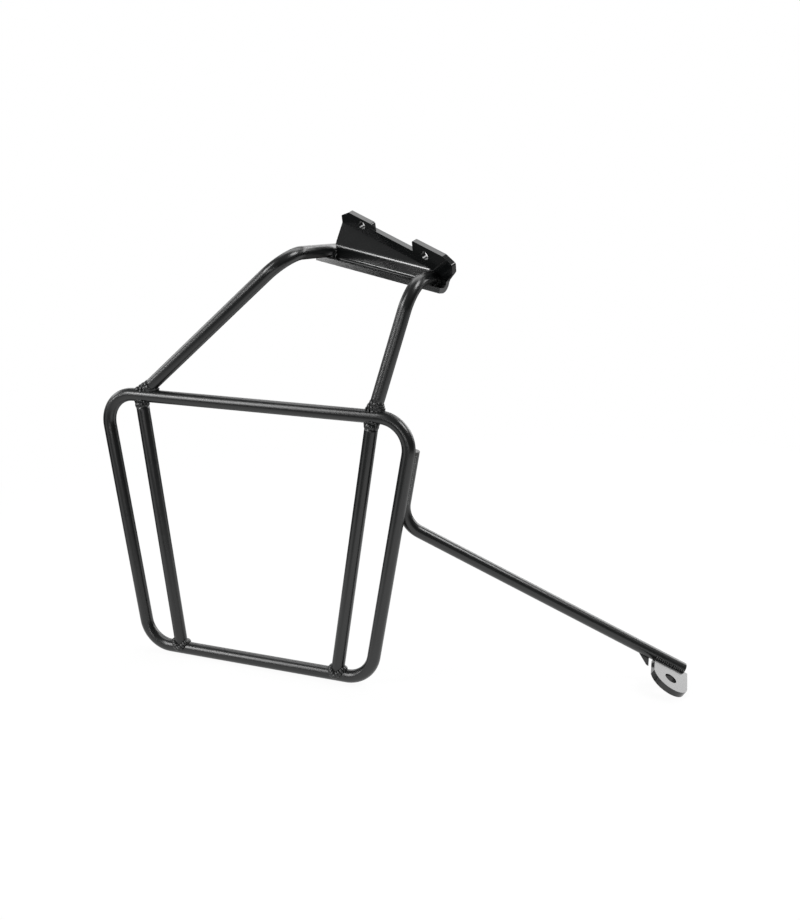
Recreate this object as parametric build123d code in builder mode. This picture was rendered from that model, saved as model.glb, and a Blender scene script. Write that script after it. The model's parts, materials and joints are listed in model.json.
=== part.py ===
# Side frame for a motorbike pannier: a welded hoop of bent tube, two posts inside it,
# two stays up to a folded mounting bracket, and a strut forward to a bolt lug.
#
# X points forward along the bike, Y inboard, Z up. The hoop stands in the XZ plane and the origin
# is the middle of its bottom rail, on the tube's axis. Millimetres and degrees.
# No tube end is open, so the tubes are modelled without their bores.

import os
from math import cos, radians, sin, tan

from build123d import *

os.makedirs("parts", exist_ok=True)

# Tube and bar
tube_d = 12.7
bar_d = 12.0
bend_r = 28.5

# Hoop, measured between tube axes
hoop_top_width = 326.8
hoop_bottom_width = 243.6
hoop_height = 257.8

# Posts: how far their axes stand inside the hoop's corners, and how far both are set forward
post_top_inset = 41.15
post_foot_inset = 35.65
post_shift = 1.2
cope_trim = 2.0

# Stays: where the axis bends inboard, and how far above the top rail. The runs then drop a little
# on their way inboard. The rear run goes past the bracket's riser by its tail
rear_bend_x = 39.5
rear_bend_rise = 142.0
front_bend_x = 156.5
front_bend_y = 10.5
front_bend_rise = 122.3
rear_run_length = 93.0
rear_run_tail = 18.0
run_drop = 1.8
run_overlap = 2.0

# Mounting bracket: a folded plate. Lengths along it are counted from the rear run's axis, and
# those of the tabs from the rear end of the fold below them
plate_t = 5.0
fold_r = 4.0
bracket_yaw = -13.4
lip_depth = 9.0
riser_start = 5.2
riser_end = 136.8
riser_height = 13.8
seat_rear = 8.2
seat_front = 15.0
seat_depth = 20.0
web_apex = 116.0
web_depth = 15.7
web_rise = 19.8
web_rear = 2.5
tab_lean = 30.0
rear_tab_length = 44.3
rear_tab_height = 15.6
rear_tab_end_height = 8.0
rear_chamfer_length = 11.5
notch_length = 55.4
notch_height = 9.7
front_tab_height = 20.9
front_chamfer_start = 139.5
front_chamfer_height = 16.4
front_tab_end = 151.4
front_tab_low = 7.1
tab_corner_r = 2.0
bracket_hole_d = 9.0
rear_hole_along = 29.5
rear_hole_up = 8.6
front_hole_along = 115.8
front_hole_up = 11.2

# Strut: a bar that lies along the hoop's front leg, then runs to its end. Its top and its bend are
# measured down from the top rail
strut_top_drop = 30.8
strut_bend_drop = 100.4
strut_end_x = 397.8
strut_end_y = 130.8
strut_end_z = 4.6

# Lug at the strut's end
lug_t = 6.0
lug_width = 37.0
lug_past_end = 4.0
lug_hole_d = 12.0
lug_hole_reach = 25.5
lug_skew = 12.0
lug_cope = 1.0

# Stop tab under the strut, behind the lug
stop_t = 4.0
stop_root = 11.0
stop_drop = 8.0
stop_tip_width = 2.5
stop_gap = 3.0

# Weld beads
joint_bead = 2.6
collar_reach = 25.0
seam_bead_r = 2.6
seam_offset = 3.4
strut_seam_top = 4.0
strut_seam_length = 46.0
bracket_seam = 8.0
bracket_groove = 4.6
bracket_groove_up = 1.2
rear_collar_height = 10.0
front_collar_height = 6.5
collar_start = 2.0
seat_seam_short = 2.0
lug_bead_r = 2.4
lug_bead_out = 0.5
lug_bead_short = 1.5

tube_r = tube_d / 2
bar_r = bar_d / 2


def along(start, end):
    return (end - start).normalized()


# Axes of the rails and of the hoop's front leg
rail_axis = Vector(1, 0, 0)
leg_foot = Vector(hoop_bottom_width / 2, 0, 0)
leg_top = Vector(hoop_top_width / 2, 0, hoop_height)
leg_axis = along(leg_foot, leg_top)

# Axes of the posts
post_top_reach = hoop_top_width / 2 - post_top_inset
post_foot_reach = hoop_bottom_width / 2 - post_foot_inset
rear_post_foot = Vector(post_shift - post_foot_reach, 0, 0)
rear_post_top = Vector(post_shift - post_top_reach, 0, hoop_height)
front_post_foot = Vector(post_shift + post_foot_reach, 0, 0)
front_post_top = Vector(post_shift + post_top_reach, 0, hoop_height)

# Axes of the stays, which stand on the rail above the posts
rear_foot = rear_post_top
front_foot = front_post_top
rear_bend = Vector(rear_bend_x, 0, hoop_height + rear_bend_rise)
front_bend = Vector(front_bend_x, front_bend_y, hoop_height + front_bend_rise)
run_axis = Vector(0, cos(radians(run_drop)), -sin(radians(run_drop)))
rear_end = rear_bend + run_axis * rear_run_length

# The bracket's lip lies under both runs. Its own axes: along the bracket, inboard, and up
lip_up = (front_bend - rear_bend).cross(run_axis).normalized()
plan = Vector(cos(radians(bracket_yaw)), sin(radians(bracket_yaw)), 0)
bracket_axis = (plan - lip_up * plan.dot(lip_up)).normalized()
seat = Plane(origin=rear_end - lip_up * tube_r, x_dir=bracket_axis, z_dir=lip_up)
inboard = seat.y_dir
riser_face = Plane(origin=seat.origin, x_dir=bracket_axis, z_dir=inboard * -1)

# The front run is as long as it takes to reach the line of the riser
front_run_length = (rear_end - front_bend).dot(inboard) / run_axis.dot(inboard)
front_end = front_bend + run_axis * front_run_length

# Corners of the web between the riser and the tabs: rear low, front apex and rear high
web_low = seat.from_local_coords(Vector(riser_start, 0, riser_height))
web_front = seat.from_local_coords(Vector(web_apex, 0, riser_height))
web_high = seat.from_local_coords(Vector(-web_rear, web_depth, riser_height + web_rise))
tab_axis = along(web_high, web_front)
lean_up = lip_up * cos(radians(tab_lean)) - inboard * sin(radians(tab_lean))
tab_up = (lean_up - tab_axis * lean_up.dot(tab_axis)).normalized()
tab_face = Plane(origin=web_high, x_dir=tab_axis, z_dir=tab_axis.cross(tab_up))
web_face = Plane(origin=web_low, x_dir=bracket_axis, z_dir=(web_front - web_low).cross(web_high - web_low))
web_length = (web_front - web_high).length

# In front of the web the tab's face and the riser's face meet on one more fold
front_fold = tab_face.z_dir.cross(riser_face.z_dir).normalized()
front_fold = front_fold * (1 if front_fold.dot(bracket_axis) > 0 else -1)
fold_end = web_front + front_fold * ((riser_end - web_apex) / front_fold.dot(bracket_axis))


def disc(start, axis, radius):
    """A disc across the axis, as the section of a tube, a bar or a bead."""
    with BuildSketch(Plane(origin=start, z_dir=axis)) as profile:
        Circle(radius)
    return profile.sketch


def finish(piece, name):
    """Names a finished piece and writes it."""
    piece.part.label = name
    export_step(piece.part, f"parts/{name}.step")


# Hoop: one tube bent round four corners
hoop_corners = [
    (-hoop_top_width / 2, hoop_height),
    (-hoop_bottom_width / 2, 0),
    (hoop_bottom_width / 2, 0),
    (hoop_top_width / 2, hoop_height),
]
with BuildLine(Plane.XZ) as hoop_path:
    FilletPolyline(*hoop_corners, radius=bend_r, close=True)
with BuildPart() as hoop:
    sweep(disc(hoop_path.line @ 0, hoop_path.line % 0, tube_r), path=hoop_path.line)
finish(hoop, "hoop")

# Posts: straight tubes between the rails, coped to both
for name, foot, top in (
    ("rear_post", rear_post_foot, rear_post_top),
    ("front_post", front_post_foot, front_post_top),
):
    with BuildPart() as post:
        extrude(disc(foot, along(foot, top), tube_r), amount=(top - foot).length)
        split(bisect_by=Plane.XY.offset(cope_trim), keep=Keep.TOP)
        split(bisect_by=Plane.XY.offset(hoop_height - cope_trim), keep=Keep.BOTTOM)
        add(hoop.part, mode=Mode.SUBTRACT)
    finish(post, name)


# Mounting bracket: lip, riser, web and tabs are parts of one plate that meet on folds
def fold_wedge(start, end, first_normal, second_normal):
    """Fills the outside of a fold between two plates, from one plate's back to the other's."""
    axis = along(start, end)
    if first_normal.cross(second_normal).dot(axis) < 0:
        first_normal, second_normal = second_normal, first_normal
    turn = first_normal.get_angle(second_normal)
    with BuildSketch(Plane(origin=start, x_dir=first_normal, z_dir=axis)) as sector:
        with BuildLine():
            arc = CenterArc((0, 0), plate_t, 0, turn)
            Line((0, 0), arc @ 0)
            Line((0, 0), arc @ 1)
        make_face()
    return sector.sketch


tab_foot = [(0, 0), (web_length, 0), tuple(tab_face.to_local_coords(fold_end))[:2]]
front_tab_corners = [
    (front_tab_end, front_tab_low),
    (front_tab_end, front_chamfer_height),
    (front_chamfer_start, front_tab_height),
    (rear_tab_length + notch_length, front_tab_height),
]
notch_corners = [(rear_tab_length + notch_length, notch_height), (rear_tab_length, notch_height)]
rear_tab_corners = [
    (rear_tab_length, rear_tab_height),
    (rear_chamfer_length, rear_tab_height),
    (0, rear_tab_end_height),
]
tab_outline = tab_foot + front_tab_corners + notch_corners + rear_tab_corners
rounded = front_tab_corners + rear_tab_corners


def bent_section(start, corners):
    """The section of a bent strip: its front face, with a radius at each corner, thickened inboard."""
    origin = seat.from_local_coords(Vector(start))
    with BuildSketch(Plane(origin=origin, x_dir=inboard, z_dir=bracket_axis)) as section:
        with BuildLine() as front:
            Polyline(*[corner[:2] for corner in corners])
            for x, y, radius in corners[1:-1]:
                fillet(front.vertices().sort_by_distance((x, y))[0], radius)
            offset(amount=plate_t, side=Side.RIGHT)
        make_face()
    return section.sketch


lip_edge = (-lip_depth, 0, 0)
lip_fold = (0, 0, fold_r)
riser_edge = (0, riser_height, 0)
web_fold = (0, riser_height, fold_r + plate_t)
web_edge = (web_depth, riser_height + web_rise, 0)
rear_trim = Plane(origin=web_low, x_dir=inboard, z_dir=(web_high - web_low).cross(inboard))
web_trim = Plane(origin=web_front, x_dir=tab_axis, z_dir=tab_axis.cross(web_face.z_dir))
riser_trim = Plane(origin=web_front, x_dir=front_fold, z_dir=front_fold.cross(inboard))


def side_of(plane, point):
    """Which side of a plane to keep so that a point stays."""
    return Keep.TOP if plane.to_local_coords(point).Z > 0 else Keep.BOTTOM


# The bracket's nose: lip and riser in front of the web
with BuildPart() as nose:
    extrude(bent_section(web_apex, [lip_edge, lip_fold, riser_edge]), amount=riser_end - web_apex)
    split(bisect_by=riser_trim, keep=side_of(riser_trim, front_end))

with BuildPart() as mounting_bracket:
    # lip, riser and web, bent from one strip and trimmed at the rear and along the fold to the tabs
    extrude(bent_section(-web_rear, [lip_edge, lip_fold, web_fold, web_edge]), amount=web_apex + web_rear)
    split(bisect_by=rear_trim, keep=side_of(rear_trim, front_end))
    split(bisect_by=web_trim, keep=side_of(web_trim, seat.origin))
    add(nose.part)
    # tabs
    with BuildSketch(tab_face) as tab_sketch:
        Polygon(*tab_outline, align=None)
        for x, y in rounded:
            fillet(tab_sketch.vertices().sort_by_distance((x, y))[0], tab_corner_r)
    extrude(amount=-plate_t)
    # outsides of the folds below the tabs
    extrude(fold_wedge(web_high, web_front, web_face.z_dir * -1, tab_face.z_dir * -1), amount=web_length)
    front_wedge = fold_wedge(web_front, fold_end, inboard, tab_face.z_dir * -1)
    extrude(front_wedge, amount=(fold_end - web_front).length)
    # the rear run passes the riser's rear edge, which is coped to it, and rests on a seat
    extrude(disc(rear_end, run_axis, tube_r), amount=rear_run_tail, both=True, mode=Mode.SUBTRACT)
    with BuildSketch(seat):
        Polygon(
            (-seat_rear, -lip_depth),
            (seat_front, -lip_depth),
            (seat_front, seat_depth),
            (-seat_rear, seat_depth),
            align=None,
        )
    extrude(amount=-plate_t)
    # bolt holes
    for hole_along, hole_up in ((rear_hole_along, rear_hole_up), (front_hole_along, front_hole_up)):
        with BuildSketch(tab_face):
            with Locations((hole_along, hole_up)):
                Circle(bracket_hole_d / 2)
        extrude(amount=plate_t, both=True, mode=Mode.SUBTRACT)
finish(mounting_bracket, "mounting_bracket")


# Stays: bent tubes from the top rail to the bracket, coped to the rail. The rear one lies on the
# seat and ends behind the riser, and the front one stands on the lip and ends on the riser
def stay_path(foot, bend, end):
    """The axis of a stay: up from the rail, round one bend, and inboard."""
    with BuildLine() as path:
        FilletPolyline(foot, bend, end, radius=bend_r)
    return path.line


rear_path = stay_path(rear_foot, rear_bend, rear_end + run_axis * rear_run_tail)
front_path = stay_path(front_foot, front_bend, front_end + run_axis * run_overlap)
foot_level = Plane.XY.offset(hoop_height + cope_trim)
with BuildPart() as rear_stay:
    sweep(disc(rear_path @ 0, rear_path % 0, tube_r), path=rear_path)
    split(bisect_by=foot_level, keep=Keep.TOP)
    extrude(disc(rear_foot, rail_axis, tube_r), amount=collar_reach, both=True, mode=Mode.SUBTRACT)
    add(hoop.part, mode=Mode.SUBTRACT)
finish(rear_stay, "rear_stay")

with BuildPart() as front_stay:
    sweep(disc(front_path @ 0, front_path % 0, tube_r), path=front_path)
    split(bisect_by=foot_level, keep=Keep.TOP)
    split(bisect_by=riser_face, keep=Keep.TOP)
    extrude(disc(front_foot, rail_axis, tube_r), amount=collar_reach, both=True, mode=Mode.SUBTRACT)
    add(hoop.part, mode=Mode.SUBTRACT)
    add(mounting_bracket.part, mode=Mode.SUBTRACT)
finish(front_stay, "front_stay")

# Strut: a bar that touches the inboard side of the hoop's front leg, bends and runs to the lug
beside_leg = Vector(0, tube_r + bar_r, 0)


def on_leg(height):
    """The point of the front leg's axis at a height."""
    return leg_foot + leg_axis * (height / leg_axis.Z)


strut_top = on_leg(hoop_height - strut_top_drop) + beside_leg
strut_bend = on_leg(hoop_height - strut_bend_drop) + beside_leg
strut_end = Vector(strut_end_x, strut_end_y, strut_end_z)
strut_axis = along(strut_bend, strut_end)
with BuildLine() as strut_path:
    FilletPolyline(strut_top, strut_bend, strut_end, radius=bend_r)
with BuildPart() as strut:
    sweep(disc(strut_top, leg_axis * -1, bar_r), path=strut_path.line)
finish(strut, "strut")

# Lug: a tongue plate in line with the strut, level across the bike, on the strut's outboard side.
# Its underside is flush with the bar's, and the tongue leans back from square by its skew
lug_up = Vector(-strut_axis.Z, 0, strut_axis.X).normalized()
lug_plane = Plane(origin=strut_end - lug_up * bar_r, x_dir=strut_axis, z_dir=lug_up)
lug_edge = lug_cope - bar_r
lug_base = lug_width / cos(radians(lug_skew))
lug_back = lug_hole_reach * tan(radians(lug_skew))
lug_hole = (lug_past_end - lug_base / 2 - lug_back, lug_edge - lug_hole_reach)
with BuildPart() as lug:
    with BuildSketch(lug_plane):
        Polygon(
            (lug_past_end, lug_edge),
            (lug_past_end - lug_base, lug_edge),
            (lug_past_end - lug_base - lug_back, lug_edge - lug_hole_reach),
            (lug_past_end - lug_back, lug_edge - lug_hole_reach),
            align=None,
        )
        with Locations(lug_hole):
            Circle(lug_width / 2)
            Circle(lug_hole_d / 2, mode=Mode.SUBTRACT)
    extrude(amount=lug_t)
    add(strut.part, mode=Mode.SUBTRACT)
finish(lug, "lug")

# Stop tab: a small pointed plate that hangs plumb under the strut, behind the lug
stop_plane = Plane(origin=strut_end, x_dir=strut_axis, z_dir=strut_axis.cross(Vector(0, 0, 1)))
stop_front = lug_past_end - lug_base - stop_gap
stop_tip = Vector(stop_front, -bar_r) + Vector(-strut_axis.Z, -stop_plane.y_dir.Z) * stop_drop
with BuildPart() as stop_tab:
    with BuildSketch(stop_plane):
        Polygon(
            (stop_front - stop_root, 0),
            (stop_front, 0),
            (stop_front, -bar_r),
            (stop_tip.X, stop_tip.Y),
            (stop_tip.X - stop_tip_width, stop_tip.Y),
            (stop_front - stop_root, -bar_r),
            align=None,
        )
    extrude(amount=stop_t / 2, both=True)
    add(strut.part, mode=Mode.SUBTRACT)
finish(stop_tab, "stop_tab")


# Weld beads round the tubes that stand on a rail: what a collar round the tube shares with a collar
# round the rail, less the tube and the rail
collar_r = tube_r + joint_bead
for name, start, end in (
    ("rear_post_foot_weld", rear_post_foot, rear_post_top),
    ("rear_post_top_weld", rear_post_top, rear_post_foot),
    ("front_post_foot_weld", front_post_foot, front_post_top),
    ("front_post_top_weld", front_post_top, front_post_foot),
    ("rear_stay_foot_weld", rear_foot, rear_bend),
    ("front_stay_foot_weld", front_foot, front_bend),
):
    axis = along(start, end)
    rail_level = Plane.XY.offset(start.Z)
    with BuildPart() as bead:
        extrude(disc(start, axis, collar_r), amount=collar_reach, both=True)
        extrude(disc(start, rail_axis, collar_r), amount=collar_reach, both=True, mode=Mode.INTERSECT)
        split(bisect_by=rail_level, keep=Keep.TOP if axis.Z > 0 else Keep.BOTTOM)
        add(hoop.part, mode=Mode.SUBTRACT)
        extrude(disc(start, axis, tube_r), amount=collar_reach, both=True, mode=Mode.SUBTRACT)
    finish(bead, name)


# Beads where the stays meet the bracket: up the riser beside a run, and along the lip
def groove(end, way):
    """The middle of the groove between a run and the lip, on one side of the run."""
    return end + run_axis.cross(lip_up) * (way * bracket_groove) - lip_up * (tube_r - bracket_groove_up)


for name, end, way, height in (
    ("rear_stay_front_weld", rear_end, 1, rear_collar_height),
    ("front_stay_rear_weld", front_end, -1, front_collar_height),
    ("front_stay_front_weld", front_end, 1, front_collar_height),
):
    root = riser_face.to_local_coords(end)
    with BuildPart() as bead:
        with BuildSketch(riser_face):
            with Locations((root.X, root.Y)):
                Circle(collar_r)
            with Locations((root.X + way * (collar_start + collar_reach / 2), 0)):
                Rectangle(collar_reach, height, align=(Align.CENTER, Align.MIN), mode=Mode.INTERSECT)
        extrude(amount=joint_bead)
        seam_start = groove(end, way) - run_axis * bracket_seam
        extrude(disc(seam_start, run_axis, seam_bead_r), amount=bracket_seam)
        add(mounting_bracket.part, mode=Mode.SUBTRACT)
        extrude(disc(end, run_axis, tube_r), amount=collar_reach, both=True, mode=Mode.SUBTRACT)
        split(bisect_by=riser_face, keep=Keep.TOP)
    finish(bead, name)

# Bead behind the rear run, along the seat
seat_seam = groove(rear_end, -1) - run_axis * bracket_seam
with BuildPart() as rear_stay_rear_weld:
    extrude(disc(seat_seam, run_axis, seam_bead_r), amount=bracket_seam + rear_run_tail - seat_seam_short)
    split(bisect_by=seat, keep=Keep.TOP)
    extrude(disc(rear_end, run_axis, tube_r), amount=collar_reach, both=True, mode=Mode.SUBTRACT)
finish(rear_stay_rear_weld, "rear_stay_rear_weld")

# Beads along both sides of the strut where it lies against the leg
seam_top = on_leg(hoop_height - strut_top_drop - strut_seam_top) + Vector(0, tube_r, 0)
for way, name in ((-1, "strut_rear_weld"), (1, "strut_front_weld")):
    seam_start = seam_top + Vector(0, 1, 0).cross(leg_axis) * (way * seam_offset)
    with BuildPart() as bead:
        extrude(disc(seam_start, leg_axis * -1, seam_bead_r), amount=strut_seam_length)
        add(strut.part, mode=Mode.SUBTRACT)
        add(hoop.part, mode=Mode.SUBTRACT)
    finish(bead, name)

# Bead on top of the lug, along the bar
lug_bead_start = lug_past_end - lug_base + lug_bead_short
lug_seam = lug_plane.from_local_coords(Vector(lug_bead_start, -bar_r - lug_bead_out, lug_t))
with BuildPart() as lug_weld:
    extrude(disc(lug_seam, strut_axis, lug_bead_r), amount=-lug_bead_start - lug_bead_short)
    split(bisect_by=lug_plane.offset(lug_t), keep=Keep.TOP)
    extrude(disc(strut_end - strut_axis * lug_base, strut_axis, bar_r), amount=lug_base, mode=Mode.SUBTRACT)
finish(lug_weld, "lug_weld")
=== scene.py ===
# %% [markdown]
# # A pannier frame in black powder coat
#
# The frame carries a case on one side of a motorbike. It is a welded piece: a hoop of bent tube with
# two posts, two stays that reach up to a folded bracket, and a strut that runs forward to a bolt lug.
# The CAD model already has every tube and plate in its place. Here Blender gives the pieces their coat,
# rounds the edges of the plates, lays rippled welds over the plain beads, and sets up a white studio.
# Lengths are in metres.

# %% Load the frame
import json
from math import cos, pi, radians, sin, sqrt

import bmesh
import bpy
from mathutils import Matrix, Vector


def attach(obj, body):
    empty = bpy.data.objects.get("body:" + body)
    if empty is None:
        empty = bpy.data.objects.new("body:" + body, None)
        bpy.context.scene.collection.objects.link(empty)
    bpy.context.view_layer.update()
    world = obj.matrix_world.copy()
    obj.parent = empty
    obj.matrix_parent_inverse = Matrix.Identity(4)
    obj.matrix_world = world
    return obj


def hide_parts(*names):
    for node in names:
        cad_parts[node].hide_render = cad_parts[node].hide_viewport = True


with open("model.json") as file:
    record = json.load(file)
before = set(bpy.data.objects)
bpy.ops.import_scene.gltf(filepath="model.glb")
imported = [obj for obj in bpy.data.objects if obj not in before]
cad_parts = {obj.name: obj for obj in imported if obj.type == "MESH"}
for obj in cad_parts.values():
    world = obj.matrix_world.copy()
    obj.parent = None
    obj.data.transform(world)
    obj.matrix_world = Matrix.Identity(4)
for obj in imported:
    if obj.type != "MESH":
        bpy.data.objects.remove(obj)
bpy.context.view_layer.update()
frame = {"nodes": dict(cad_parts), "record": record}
nodes = frame["nodes"]
print("pieces from CAD:", len(nodes))

# %% [markdown]
# ## Writing shader maths as sums
#
# A finish is a small calculation: a noise makes a grain, the grain changes the roughness, and so on.
# Adding each node by hand hides that sum. A thin wrapper round a socket lets Python's own operators add
# the Math nodes, so that `0.3 + 0.1 * grain` reads as what it does.


# %% One class for sockets
class Wire:
    """An output socket of a node tree, with arithmetic."""

    def __init__(self, tree, socket=None):
        self.tree = tree
        self.socket = socket

    def add(self, kind, settings=(), sockets=(), out=0):
        """Adds a node: its settings first, then the values or links of its sockets."""
        node = self.tree.nodes.new(kind)
        for name, value in dict(settings).items():
            setattr(node, name, value)
        for name, value in dict(sockets).items():
            if isinstance(value, Wire):
                self.tree.links.new(value.socket, node.inputs[name])
            else:
                node.inputs[name].default_value = value
        return Wire(self.tree, node.outputs[out] if node.outputs else None)

    def math(self, operation, first, second=0):
        """Adds a Math node for one or two values or wires."""
        return self.add("ShaderNodeMath", {"operation": operation}, {0: first, 1: second})

    def __add__(self, other):
        return self.math("ADD", self, other)

    def __sub__(self, other):
        return self.math("SUBTRACT", self, other)

    def __mul__(self, other):
        return self.math("MULTIPLY", self, other)

    def __rsub__(self, other):
        return self.math("SUBTRACT", other, self)

    __radd__ = __add__
    __rmul__ = __mul__


def new_tree(owner):
    """Clears an owner's node tree and returns a wire to add nodes with."""
    owner.use_nodes = True
    owner.node_tree.nodes.clear()
    return Wire(owner.node_tree)


def ramp(value, start, end, low=0.0, high=1.0, easing="LINEAR"):
    """Turns a wire's values from start to end into values from low to high, and holds them beyond."""
    sockets = {"Value": value, "From Min": start, "From Max": end, "To Min": low, "To Max": high}
    return value.add("ShaderNodeMapRange", {"interpolation_type": easing}, sockets)


print("wire class ready")

# %% [markdown]
# ## Powder coat
#
# The steel is blasted, dusted with dry paint and baked. The paint melts into a tough skin that is never
# quite flat: it has a fine orange peel about a millimetre across, and a slower swell left by the flow.
# Peel, grit and pinholes go into the bump, and swell and grit into the tone and the roughness. The black
# is a little cool. Plates take the coat more evenly than tubes, and over a weld it lies thicker and
# duller, so each of them gets its own recipe.

# %% The coats
COAT_BLACK = (0.0040, 0.0046, 0.0048, 1)
COAT_DUST = (0.0085, 0.0093, 0.0095, 1)
DUST_FROM, DUST_TO = 0.35, 0.70
COAT_IOR = 1.6
SWELLS_PER_METRE = 38.0
GRIT_PER_PEEL = 4
PINHOLES_PER_PEEL = 0.45
PINHOLE_INSIDE, PINHOLE_RIM = 0.03, 0.10
GRIT_HEIGHT = 0.18
PIT_HEIGHT = 0.25
BUMP_STRENGTH = 0.55
SWELL_SHARE, GRIT_SHARE = 0.6, 0.4
MIX_COLOUR_A, MIX_COLOUR_B, MIX_COLOUR_OUT = 6, 7, 2


def powder_coat(name, peel, depth, dullness, spread):
    """Black powder coat: peel cells per metre, their depth, and the middle and spread of the roughness."""
    material = bpy.data.materials.new(name)
    w = new_tree(material)
    place = w.add("ShaderNodeTexCoord", out="Object")

    def noise(scale, detail, roughness=0.5):
        sockets = {"Vector": place, "Scale": scale, "Detail": detail, "Roughness": roughness}
        return w.add("ShaderNodeTexNoise", sockets=sockets)

    swell = noise(SWELLS_PER_METRE, detail=2.0)
    orange = noise(peel, detail=1.5, roughness=0.45)
    grit = noise(peel * GRIT_PER_PEEL, detail=2.0)
    pinholes = w.add("ShaderNodeTexVoronoi", sockets={"Vector": place, "Scale": peel * PINHOLES_PER_PEEL})
    pits = ramp(pinholes, PINHOLE_INSIDE, PINHOLE_RIM)
    height = orange + GRIT_HEIGHT * grit + PIT_HEIGHT * pits
    relief = w.add(
        "ShaderNodeBump",
        sockets={"Height": height, "Strength": BUMP_STRENGTH, "Distance": depth},
    )
    uneven = SWELL_SHARE * swell + GRIT_SHARE * grit
    colour = w.add(
        "ShaderNodeMix",
        {"data_type": "RGBA"},
        {"Factor": ramp(uneven, DUST_FROM, DUST_TO), MIX_COLOUR_A: COAT_BLACK, MIX_COLOUR_B: COAT_DUST},
        out=MIX_COLOUR_OUT,
    )
    rough = dullness - spread / 2 + spread * uneven
    skin = w.add(
        "ShaderNodeBsdfPrincipled",
        sockets={"Base Color": colour, "Roughness": rough, "Normal": relief, "IOR": COAT_IOR},
    )
    w.add("ShaderNodeOutputMaterial", sockets={"Surface": skin})
    return material


coats = {
    "tube_coat": powder_coat("tube_coat_black", peel=850, depth=0.000014, dullness=0.28, spread=0.07),
    "plate_coat": powder_coat("plate_coat_black", peel=700, depth=0.000012, dullness=0.17, spread=0.06),
    "weld_coat": powder_coat("weld_coat_black", peel=1100, depth=0.000012, dullness=0.31, spread=0.08),
}
slot_of = {row["node"]: row["material_slot"] for row in frame["record"]["subparts"]}
for name, node in nodes.items():
    node.data.materials.clear()
    node.data.materials.append(coats[slot_of[name]])
print("coats:", ", ".join(coats))

# %% [markdown]
# ## Pieces that stand for CAD pieces
#
# Some pieces get a finer form here than they have in the CAD model. A copy of a CAD mesh is loose
# triangles, so its points are merged and its flat triangles are joined into whole faces before it is
# shaped. The finished piece wears the coat of the CAD piece that it stands for.

# %% Copies and stand-ins
SAME_POINT = 0.000001


def cad_copy(node, flat):
    """A CAD node's mesh to work on, with its points merged and faces within the flat angle joined."""
    bm = bmesh.new()
    bm.from_mesh(nodes[node].data)
    bmesh.ops.remove_doubles(bm, verts=bm.verts, dist=SAME_POINT)
    bmesh.ops.dissolve_limit(bm, angle_limit=flat, verts=bm.verts, edges=bm.edges)
    return bm


def stand_in(piece, node, bm):
    """Makes a smooth piece of a worked mesh. It stands for the CAD node."""
    for face in bm.faces:
        face.smooth = True
    mesh = bpy.data.meshes.new(piece)
    bm.to_mesh(mesh)
    bm.free()
    mesh.materials.append(coats[slot_of[node]])
    obj = bpy.data.objects.new(piece, mesh)
    bpy.context.scene.collection.objects.link(obj)
    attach(obj, "root")
    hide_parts(node)
    return obj


print("points closer than this are one, mm:", SAME_POINT * 1000)

# %% [markdown]
# ## Plates with broken edges
#
# The bracket, the lug and the stop tab are cut from plate and tumbled before they are coated, so their
# edges are rounded and catch a thin line of light. Only the edges that really turn are bevelled.
# Weighted normals keep the big faces flat up to the rounding.

# %% Rounded plates
PLATE_FLAT = radians(0.5)
PLATE_TURN = radians(24)
ROUND_STEPS = 3
FLAT_WEIGHT = 100


def rounded_plate(node, piece, radius):
    """A copy of a plate with its edges rounded."""
    bm = cad_copy(node, PLATE_FLAT)
    turning = [e for e in bm.edges if e.is_manifold and e.calc_face_angle(0) > PLATE_TURN]
    bmesh.ops.bevel(
        bm,
        geom=turning,
        offset=radius,
        offset_type="OFFSET",
        segments=ROUND_STEPS,
        profile=0.5,
        affect="EDGES",
        material=-1,
        clamp_overlap=True,
    )
    plate = stand_in(piece, node, bm)
    plate.modifiers.new("flat faces", "WEIGHTED_NORMAL").weight = FLAT_WEIGHT
    print(f"{piece}: {len(turning)} edges rounded, {len(plate.data.polygons)} faces")


rounded_plate("mounting_bracket", "bracket_plate", radius=0.0006)
rounded_plate("lug", "lug_plate", radius=0.0007)
rounded_plate("stop_tab", "stop_plate", radius=0.0005)

# %% [markdown]
# ## Rippled welds
#
# A hand-laid weld is a row of small puddles, each frozen over the edge of the one before. The CAD beads
# are plain, so each is replaced by its own row of flattened balls that follow the joint. Where a tube
# stands on a rail of the same size, the joint is a saddle: the puddles go round the tube and rise and
# fall with the rail. Along plates and bars they run straight. A fixed list of small changes keeps the
# rows from looking stamped, and gives the same welds each time.

# %% Puddles
PUDDLE_STEP = 0.0021
PUDDLE_LEAN = radians(16)
BALL_SIDES = 12
BALL_RINGS = 8
WOBBLE = [0.06, -0.05, 0.02, 0.09, -0.08, 0.00, 0.05, -0.03, -0.07, 0.04, 0.08]


def puddle_row(joint, line, puddle):
    """A weld along a line of (point, outward direction, direction of travel).

    A puddle is half its width, and its length along the line and its depth as shares of that.
    """
    size, length, depth = puddle
    lean = Matrix.Rotation(-PUDDLE_LEAN, 4, "Y")
    bm = bmesh.new()
    for i, (point, outward, travel) in enumerate(line):
        swell = 1 + WOBBLE[i % len(WOBBLE)]
        side = outward.cross(travel).normalized()
        turn = Matrix((travel, side, travel.cross(side))).transposed().to_4x4()
        shape = Matrix.Diagonal((length * size, size * swell, depth * size * swell, 1))
        place = Matrix.Translation(point) @ turn @ lean @ shape
        bmesh.ops.create_uvsphere(bm, u_segments=BALL_SIDES, v_segments=BALL_RINGS, radius=1, matrix=place)
    weld = stand_in(f"{joint}_puddles", f"{joint}_weld", bm)
    print(f"{weld.name}: {len(line)} puddles")


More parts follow.
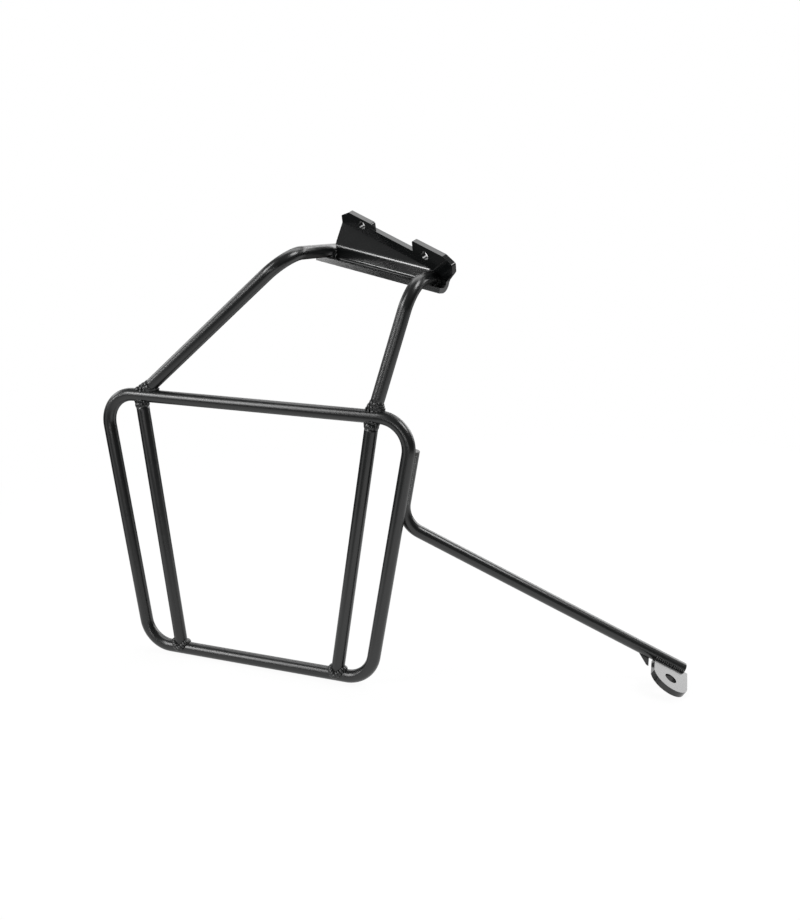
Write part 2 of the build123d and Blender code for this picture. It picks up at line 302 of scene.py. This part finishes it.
def straight(start, end, outward):
    """Puddle places along a straight seam."""
    run = end - start
    count = int(run.length / PUDDLE_STEP)
    travel = run.normalized()
    outward = (outward - travel * outward.dot(travel)).normalized()
    return [(start + run * (i / count), outward, travel) for i in range(count + 1)]


print("puddle step, mm:", PUDDLE_STEP * 1000)

# %% [markdown]
# ### Saddles on the bottom rail
#
# A point of the saddle lies on both tubes. Going round the standing tube by an angle gives its place
# across the rail, and the rail's roundness gives its height. The puddles sit a little outside both.

# %% Where the posts and stays stand
TUBE_R = 0.00635
RAIL_Z = 0.2578
REAR_TOP = Vector((-0.12105, 0, RAIL_Z))
FRONT_TOP = Vector((0.12345, 0, RAIL_Z))
REAR_FOOT = Vector((-0.08495, 0, 0))
FRONT_FOOT = Vector((0.08735, 0, 0))
REAR_BEND = Vector((0.0395, 0, RAIL_Z + 0.1420))
FRONT_BEND = Vector((0.1565, 0.0105, RAIL_Z + 0.1223))
INBOARD = Vector((0, 1, 0))


def directions(base, towards):
    """Along a tube, and across it, inboard and forward."""
    axis = (towards - base).normalized()
    across = (INBOARD - axis * INBOARD.dot(axis)).normalized()
    return axis, across, across.cross(axis)


def on_rail(base, axis, offset):
    """Where a line beside a tube's axis meets the rail that the tube stands on."""
    up = 1 if axis.z > 0 else -1
    height = sqrt(max(TUBE_R**2 - offset.y**2, 0))
    return base + offset + axis * ((height - offset.z * up) / (axis.z * up))


print("top rail at", RAIL_Z)

# %% Welds at the feet of the posts
SADDLE_PROUD = 0.0010
SADDLE_STEPS = 96
FOOT_PUDDLE = (0.0031, 0.85, 0.72)


def saddle(base, towards):
    """Puddle places round a tube that stands on a rail at base and goes towards a point."""
    axis, across, forward = directions(base, towards)
    ring = []
    for i in range(SADDLE_STEPS):
        angle = 2 * pi * i / SADDLE_STEPS
        spoke = forward * cos(angle) + across * sin(angle)
        point = on_rail(base, axis, spoke * TUBE_R)
        rail_normal = Vector((0, point.y, point.z - base.z)).normalized()
        ring.append((point, (spoke + rail_normal).normalized()))
    line = []
    gone = PUDDLE_STEP
    for i, (point, outward) in enumerate(ring):
        ahead = ring[(i + 1) % SADDLE_STEPS][0] - point
        gone += ahead.length
        if gone >= PUDDLE_STEP and ahead.length > SAME_POINT:
            gone = 0
            travel = ahead.normalized()
            outward = (outward - travel * outward.dot(travel)).normalized()
            line.append((point + outward * SADDLE_PROUD, outward, travel))
    return line


puddle_row("rear_post_foot", saddle(REAR_FOOT, REAR_TOP), FOOT_PUDDLE)
puddle_row("front_post_foot", saddle(FRONT_FOOT, FRONT_TOP), FOOT_PUDDLE)

# %% [markdown]
# ### Collars at the top rail
#
# At the top rail the photograph shows the tube clean in front, with a collar of weld between it and the
# end of each post or stay. So each of them is drawn in near its end, and rows of puddles close round the
# narrow part, from the full tube down to a ring on the rail. The ring is slim across the rail, and under
# the stays it flares a little along it.

# %% Tubes drawn in at the rail
NECK_ACROSS = 0.60
NECK_FORWARD = 0.85
TUBE_FLAT = radians(0.3)
TUBE_SHARP = radians(35)
CUTS_BEFORE_FAR_END = (0.0160, 0.0140)
CUTS_PAST_NECK = (0.0030, 0.0003, 0.0)
CUT_SLACK = 0.00001


def drawn_in(node, base, towards, reach):
    """A copy of a tube that is narrower within reach of a rail's axis."""
    axis, across, forward = directions(base, towards)
    bm = cad_copy(node, TUBE_FLAT)
    far_end = (towards - base).length
    cuts = [far_end - before for before in CUTS_BEFORE_FAR_END] + [reach + past for past in CUTS_PAST_NECK]
    for cut in cuts:
        everything = bm.verts[:] + bm.edges[:] + bm.faces[:]
        place = base + axis * cut
        bmesh.ops.bisect_plane(bm, geom=everything, dist=SAME_POINT, plane_co=place, plane_no=axis)
    for vert in bm.verts:
        along = (vert.co - base).dot(axis)
        if along < reach + CUT_SLACK:
            foot = base + axis * along
            spoke = vert.co - foot
            slim = across * (spoke.dot(across) * NECK_ACROSS)
            vert.co = foot + slim + forward * (spoke.dot(forward) * NECK_FORWARD)
    for edge in bm.edges:
        edge.smooth = edge.calc_face_angle(0) < TUBE_SHARP
    tube = stand_in(f"{node}_tube", node, bm)
    print(f"{tube.name}: drawn in over {reach * 1000:.1f} mm")


# %% Collars of weld
COLLAR_COUNT = 11
COLLAR_BELOW_NECK = 0.0014
COLLAR_SUNK = 0.0009
COLLAR_PUDDLE = (0.0030, 1.00, 0.46)


def collar(base, towards, reach, rows, flare):
    """Puddle places in rows round the narrow end of a tube, from its full part to the rail."""
    axis, across, forward = directions(base, towards)
    line = []
    for row in range(rows):
        for i in range(COLLAR_COUNT):
            angle = 2 * pi * (i + 0.5 * (row % 2)) / COLLAR_COUNT
            spoke = forward * cos(angle) + across * sin(angle)
            travel = across * cos(angle) - forward * sin(angle)
            high = base + axis * (reach - COLLAR_BELOW_NECK) + spoke * (TUBE_R - COLLAR_SUNK)
            slim = (forward * (cos(angle) * flare) + across * (sin(angle) * NECK_ACROSS)) * TUBE_R
            line.append((high.lerp(on_rail(base, axis, slim), row / (rows - 1)), spoke, travel))
    return line


for node, joint, base, towards, reach, rows, flare in (
    ("rear_post", "rear_post_top", REAR_TOP, REAR_FOOT, 0.0105, 2, 1.00),
    ("front_post", "front_post_top", FRONT_TOP, FRONT_FOOT, 0.0105, 2, 1.00),
    ("rear_stay", "rear_stay_foot", REAR_TOP, REAR_BEND, 0.0155, 4, 1.15),
    ("front_stay", "front_stay_foot", FRONT_TOP, FRONT_BEND, 0.0135, 3, 1.20),
):
    drawn_in(node, base, towards, reach)
    puddle_row(joint, collar(base, towards, reach, rows, flare), COLLAR_PUDDLE)

# %% [markdown]
# ### Seams on the bracket
#
# The front run ends on the bracket's riser. The rear run lies on a seat and goes past the riser's rear
# edge. Beside each of them a seam follows the lip, then turns up the riser round the tube, and behind the
# rear run it follows the seat instead. The lip lies flat under both runs, and the riser stands on the
# line between the places where they meet it, so the runs give the directions of both plates.

# %% Welds beside the runs
RUN_DROP = radians(1.8)
RUN = Vector((0, cos(RUN_DROP), -sin(RUN_DROP)))
REAR_RUN, FRONT_RUN = 0.0930, 0.0533
REAR_END = REAR_BEND + RUN * REAR_RUN
FRONT_END = FRONT_BEND + RUN * FRONT_RUN
LIP_UP = (FRONT_BEND - REAR_BEND).cross(RUN).normalized()
RISER_OUT = (FRONT_END - REAR_END).cross(LIP_UP).normalized()
GROOVE_OUT = 0.0050
GROOVE_DOWN = 0.0052
SEAM_LENGTH = 0.0075
SEAM_SHORT = 0.0016
SEAT_LENGTH = 0.0155
RISE_FROM, RISE_STEP = -34, 14
RISE_RADIUS = 0.0072
RISE_PROUD = 0.0008
SEAM_PUDDLE = (0.0020, 0.62, 0.80)


def groove(end, way):
    """The middle of the groove between a run and the plate it lies on, and the way out of it."""
    side = RUN.cross(LIP_UP) * way
    return end + side * GROOVE_OUT - LIP_UP * GROOVE_DOWN, side


def run_seam(end, way, top):
    """Puddle places beside a stay's run: along the lip, then up the riser to an angle in degrees."""
    middle, side = groove(end, way)
    reach = (middle - end).dot(RISER_OUT)
    last = middle - RUN * (reach / RUN.dot(RISER_OUT) + SEAM_SHORT)
    line = straight(middle - RUN * SEAM_LENGTH, last, side + LIP_UP)
    for degrees in range(RISE_FROM, top, RISE_STEP):
        angle = radians(degrees)
        spoke = side * cos(angle) + LIP_UP * sin(angle)
        point = end + spoke * RISE_RADIUS
        drop = (point - end).dot(RISER_OUT)
        point = point - RUN * (drop / RUN.dot(RISER_OUT)) + RISER_OUT * RISE_PROUD
        travel = (LIP_UP * cos(angle) - side * sin(angle)).normalized()
        line.append((point, (spoke + RISER_OUT).normalized(), travel))
    return line


puddle_row("rear_stay_front", run_seam(REAR_END, way=1, top=36), SEAM_PUDDLE)
puddle_row("front_stay_rear", run_seam(FRONT_END, way=-1, top=6), SEAM_PUDDLE)
puddle_row("front_stay_front", run_seam(FRONT_END, way=1, top=6), SEAM_PUDDLE)
seat, seat_side = groove(REAR_END, way=-1)
seat_seam = straight(seat - RUN * SEAM_LENGTH, seat + RUN * SEAT_LENGTH, seat_side + LIP_UP)
puddle_row("rear_stay_rear", seat_seam, SEAM_PUDDLE)

# %% [markdown]
# ### Seams along the strut
#
# The strut lies along the hoop's front leg with a seam in each groove. At its other end the lug is welded
# along the bar on its outer side. Both lines follow from the leg, the strut's bend and the strut's end.

# %% Welds at the leg and the lug
BAR_R = 0.0060
LEG_FOOT = Vector((0.1218, 0, 0))
LEG_TOP = Vector((0.1634, 0, RAIL_Z))
LEG = (LEG_TOP - LEG_FOOT).normalized()
LEG_SIDE = INBOARD.cross(LEG)
LEG_SEAM_Z = 0.2230
LEG_SEAM_LENGTH = 0.0460
LEG_GROOVE = 0.0043
STRUT_BEND_Z = 0.1574
STRUT_END = Vector((0.3978, 0.1308, 0.0046))
LUG_SEAM_PROUD = 0.0006
LUG_SEAM_UP = 0.0005
LUG_SEAM_FROM, LUG_SEAM_TO = 0.0323, 0.0015
LUG_PUDDLE = (0.0017, 0.62, 0.80)


def on_leg(height):
    """The axis of the hoop's front leg at a height."""
    return LEG_FOOT.lerp(LEG_TOP, height / RAIL_Z)


seam_top = on_leg(LEG_SEAM_Z) + INBOARD * TUBE_R
for joint, way in (("strut_rear", -1), ("strut_front", 1)):
    start = seam_top + LEG_SIDE * (way * LEG_GROOVE)
    puddle_row(joint, straight(start, start - LEG * LEG_SEAM_LENGTH, LEG_SIDE * way), SEAM_PUDDLE)

strut_bend = on_leg(STRUT_BEND_Z) + INBOARD * (TUBE_R + BAR_R)
strut = (STRUT_END - strut_bend).normalized()
lug_up = Vector((-strut.z, 0, strut.x)).normalized()
lug_out = strut.cross(lug_up)
seam = STRUT_END + lug_out * (BAR_R + LUG_SEAM_PROUD) + lug_up * LUG_SEAM_UP
lug_seam = straight(seam - strut * LUG_SEAM_FROM, seam - strut * LUG_SEAM_TO, lug_out + lug_up)
puddle_row("lug", lug_seam, LUG_PUDDLE)

# %% [markdown]
# ## White studio
#
# What a glossy black coat shows is mostly what stands round it, so floor, room and lights matter more as
# shapes than as brightness. The frame stands on a white sweep. The camera sees the floor as plain white,
# and a small share of real diffuse paper keeps a faint shadow under the rail and the lug. In the coat
# only some of the floor is bright: a pool near the strut, another behind on the right, and a band that
# slants under the hoop. They fill the undersides, and the dim rest keeps the tubes black.

# %% Floor
FLOOR_Z = -TUBE_R
FLOOR_MIDDLE = (0.12, 0, FLOOR_Z)
FLOOR_RADIUS = 6
FLOOR_SIDES = 64
floor_mesh = bpy.data.meshes.new("floor")
bm = bmesh.new()
middle = Matrix.Translation(FLOOR_MIDDLE)
bmesh.ops.create_circle(bm, cap_ends=True, segments=FLOOR_SIDES, radius=FLOOR_RADIUS, matrix=middle)
bm.to_mesh(floor_mesh)
bm.free()
floor = bpy.data.objects.new("floor", floor_mesh)
bpy.context.scene.collection.objects.link(floor)
print("floor at", FLOOR_Z)

# %% White paper
WHITE = (1, 1, 1, 1)
PAPER = (0.9, 0.9, 0.9, 1)
NEAR_POOL = (0.52, -0.10, FLOOR_Z)
FAR_POOL = (1.25, 1.00, FLOOR_Z)
BAND_ACROSS = (-0.707, 0.707, 0)
POOL_DIM = 0.03
PLAIN_FROM, PLAIN_TO, PLAIN_NEAR = 0.8, 1.3, 0.94

white = bpy.data.materials.new("studio_white")
floor_mesh.materials.append(white)
w = new_tree(white)
seen = w.add("ShaderNodeLightPath", out="Is Camera Ray")
mirrored = w.add("ShaderNodeLightPath", out="Is Glossy Ray")
clear = w.add("ShaderNodeLightPath", out="Is Transmission Ray")
spot = w.add("ShaderNodeTexCoord", out="Object")


def measure(operation, vector):
    """How far a spot of the floor is from a place, or along a direction."""
    return spot.add("ShaderNodeVectorMath", {"operation": operation}, {0: spot, 1: vector}, out="Value")


def pool(distance, start, end, brightness):
    """Brightness that fades to the dim floor from one distance to another."""
    return ramp(distance, start, end, brightness, POOL_DIM, "SMOOTHSTEP")


from_near = measure("DISTANCE", NEAR_POOL)
from_far = measure("DISTANCE", FAR_POOL)
from_band = w.math("ABSOLUTE", measure("DOT_PRODUCT", BAND_ACROSS))
near_pool = pool(from_near, start=0.38, end=0.66, brightness=1.00)
far_pool = pool(from_far, start=0.40, end=0.70, brightness=0.95)
band = pool(from_band, start=0.10, end=0.38, brightness=0.82)
bright = w.math("MAXIMUM", w.math("MAXIMUM", near_pool, far_pool), band)
glow = w.add("ShaderNodeEmission", sockets={"Color": WHITE, "Strength": seen + clear + mirrored * bright})
paper = w.add("ShaderNodeBsdfDiffuse", sockets={"Color": PAPER})
plain = ramp(from_near, PLAIN_FROM, PLAIN_TO, PLAIN_NEAR)
sweep = w.add("ShaderNodeMixShader", sockets={"Fac": plain, 1: paper, 2: glow})
w.add("ShaderNodeOutputMaterial", sockets={"Surface": sweep})
print("bright places of the floor:", NEAR_POOL, FAR_POOL)

# %% [markdown]
# ### Room
#
# A white room would wash the coat out, so the world is white only to the camera and to rays that pass
# through something clear. To the coat the room is dim, a little lighter overhead and lightest low on
# the left.

# %% World
ROOM_LOW, ROOM_HIGH = 0.10, 0.22
ROOM_TOP = 0.9
LEFT_LIGHT = 0.40
LEFT_FROM, LEFT_TO = 0.2, -0.9

world = bpy.data.worlds.new("studio")
bpy.context.scene.world = world
w = new_tree(world)
seen = w.add("ShaderNodeLightPath", out="Is Camera Ray")
clear = w.add("ShaderNodeLightPath", out="Is Transmission Ray")
way = w.add("ShaderNodeTexCoord", out="Generated")
up = w.add("ShaderNodeSeparateXYZ", sockets={0: way}, out="Z")
right = w.add("ShaderNodeSeparateXYZ", sockets={0: way}, out="X")
overhead = ramp(up, 0.0, ROOM_TOP, ROOM_LOW, ROOM_HIGH)
on_left = ramp(right, LEFT_FROM, LEFT_TO, 0.0, LEFT_LIGHT)
room = overhead + on_left * (1 - up)
shown = seen + clear
sky = w.add("ShaderNodeBackground", sockets={"Color": WHITE, "Strength": shown + (1 - shown) * room})
w.add("ShaderNodeOutputWorld", sockets={"Surface": sky})
print("room brightness, low and high:", ROOM_LOW, ROOM_HIGH)

# %% [markdown]
# ### Lights
#
# A tall strip at the front left draws the thin bright line along the rails. Beside it one small lamp
# picks out the fold of the bracket, and a lower one the stays. Two low strips stand in front, behind the
# camera, and the front stay mirrors them. A box on the left lights the sides that face it. A lamp high on
# the right marks the bends and the strut, two boxes at the back light the lug, the runs and the upper
# edges of the plate, and a box overhead lifts the tops. Each is a rectangle that faces the frame.

# %% Soft boxes
AIM = Vector((0.1, 0.03, 0.3))


def soft_box(name, place, width, height, brightness):
    """A rectangular lamp that faces the frame. Brightness is that of its face, where 1 is white."""
    lamp = bpy.data.lights.new(name, "AREA")
    lamp.shape = "RECTANGLE"
    lamp.size = width
    lamp.size_y = height
    lamp.energy = brightness * pi * width * height
    obj = bpy.data.objects.new(name, lamp)
    obj.location = place
    obj.rotation_euler = (AIM - Vector(place)).to_track_quat("-Z", "Y").to_euler()
    obj.visible_camera = False
    bpy.context.scene.collection.objects.link(obj)
    print(f"{name}: {width} by {height}, brightness {brightness}")


soft_box("front_left_strip", (-0.92, -1.43, 1.25), 0.40, 1.55, 7.5)
soft_box("fold_lamp", (-1.21, -1.24, 1.16), 0.34, 0.34, 18.0)
soft_box("low_left_lamp", (-1.58, -0.99, 0.53), 0.36, 0.22, 12.0)
soft_box("front_strip", (0.12, -1.60, 0.27), 0.80, 0.18, 5.0)
soft_box("low_front_strip", (0.75, -1.50, 0.08), 0.55, 0.14, 2.6)
soft_box("left_box", (-1.58, 0.24, 0.85), 1.10, 0.40, 3.0)
soft_box("back_left_box", (-0.90, 1.65, 0.92), 1.50, 0.90, 1.5)
soft_box("right_lamp", (1.55, 0.20, 1.85), 0.70, 0.90, 11.0)
soft_box("low_back_box", (0.80, 2.00, 0.95), 1.90, 1.30, 3.4)
soft_box("top_box", (-0.10, 0.95, 2.20), 2.20, 1.30, 2.4)

# %% [markdown]
# ## Camera
#
# The camera was fitted to the hoop in the photograph. Its axes are written out, so that the view is the
# same to the pixel, and the lens follows from the focal length in pixels.

# %% Place the camera
RIGHT = Vector((0.9324, 0.3612, 0.0104))
DOWN = Vector((0.0985, -0.2264, -0.9690))
FORWARD = Vector((-0.3477, 0.9046, -0.2467))
EYE = Vector((0.5273, -0.9812, 0.4876))
FOCAL_PX = 1200
LONG_SIDE_PX = 920
SENSOR_MM = 36

camera_data = bpy.data.cameras.new("camera")
camera_data.sensor_width = SENSOR_MM
camera_data.lens = FOCAL_PX / LONG_SIDE_PX * SENSOR_MM
camera = bpy.data.objects.new("camera", camera_data)
camera.matrix_world = Matrix.Translation(EYE) @ Matrix((RIGHT, -DOWN, -FORWARD)).transposed().to_4x4()
bpy.context.scene.collection.objects.link(camera)
bpy.context.scene.camera = camera
bpy.context.scene.view_settings.view_transform = "Standard"
print("lens, mm:", round(camera_data.lens, 2))
